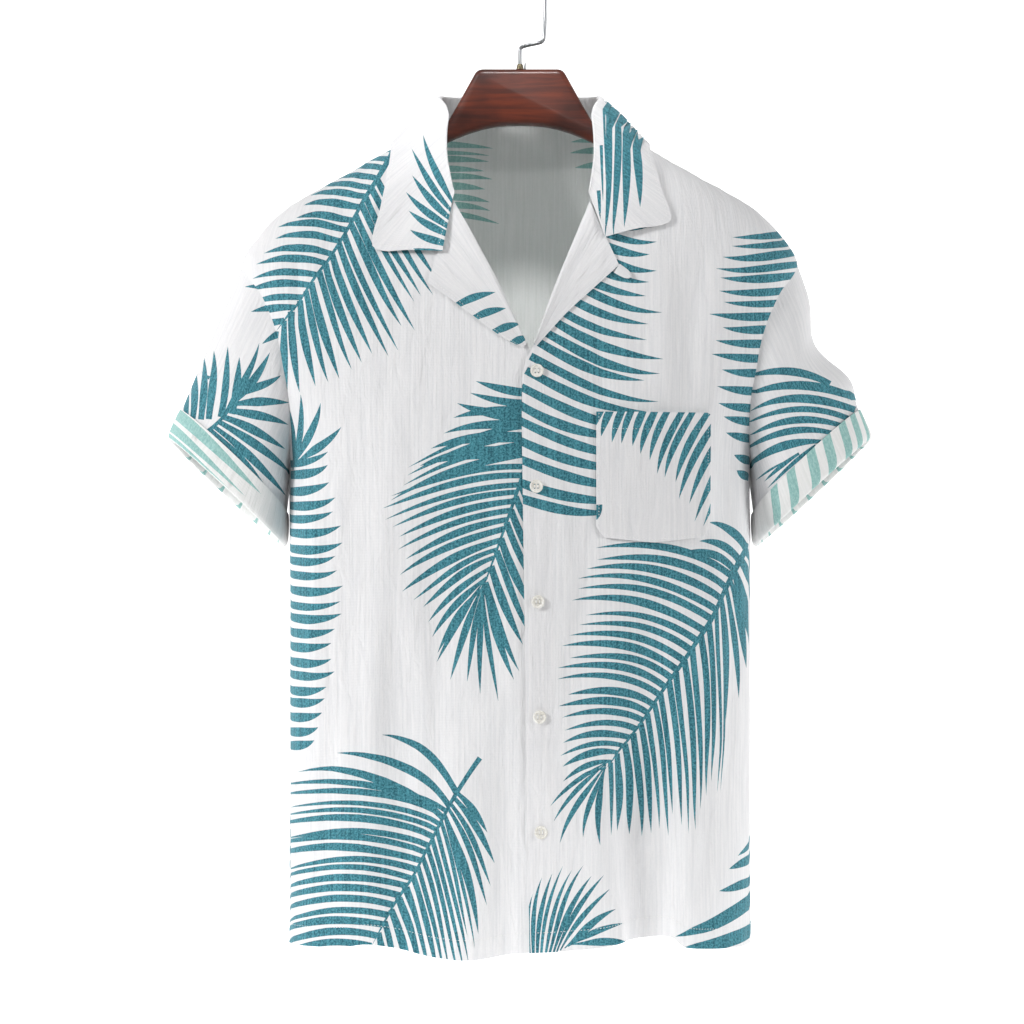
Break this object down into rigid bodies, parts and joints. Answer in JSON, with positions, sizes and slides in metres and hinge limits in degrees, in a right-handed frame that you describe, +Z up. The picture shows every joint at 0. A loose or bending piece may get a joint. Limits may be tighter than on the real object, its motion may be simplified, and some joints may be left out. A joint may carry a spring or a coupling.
{
  "type": "hawaiian shirt on a wooden hanger",
  "caption": "Short-sleeved camp-collar shirt with a palm-leaf print, a chest pocket and turned-up cuffs, hanging filled out and empty on a wooden hanger with a wire hook.",
  "frame": {"origin": "inside top of the hook's bend, where the rail carries it", "axes": "+Z up, front of the shirt towards -Y, +X to the right of someone who faces the front"},
  "size_m": [0.6206, 0.219, 0.8521],
  "materials": {
    "printed_cloth": "light crinkled cotton, white with teal palm leaves printed on the face",
    "wrong_side_cloth": "wrong side of the print, pale and faded",
    "button_resin": "pearly white resin",
    "hanger_wood": "reddish-brown stain under satin lacquer",
    "ferrule_brass": "dull plated brass",
    "hook_steel": "bright drawn wire"
  },
  "bodies": {
    "root": {"front_right": "printed_cloth", "front_left": "printed_cloth", "back": "printed_cloth", "collar": "printed_cloth", "lapel_right": "printed_cloth", "lapel_left": "printed_cloth", "sleeve_right": "printed_cloth", "sleeve_left": "printed_cloth", "pocket": "printed_cloth", "loop": "printed_cloth", "cuff_right": "wrong_side_cloth", "cuff_left": "wrong_side_cloth", "button_1": "button_resin", "button_2": "button_resin", "button_3": "button_resin", "button_4": "button_resin", "button_5": "button_resin", "hanger_body": "hanger_wood", "hook_ferrule": "ferrule_brass", "hook": "hook_steel"}
  },
  "joints": []
}
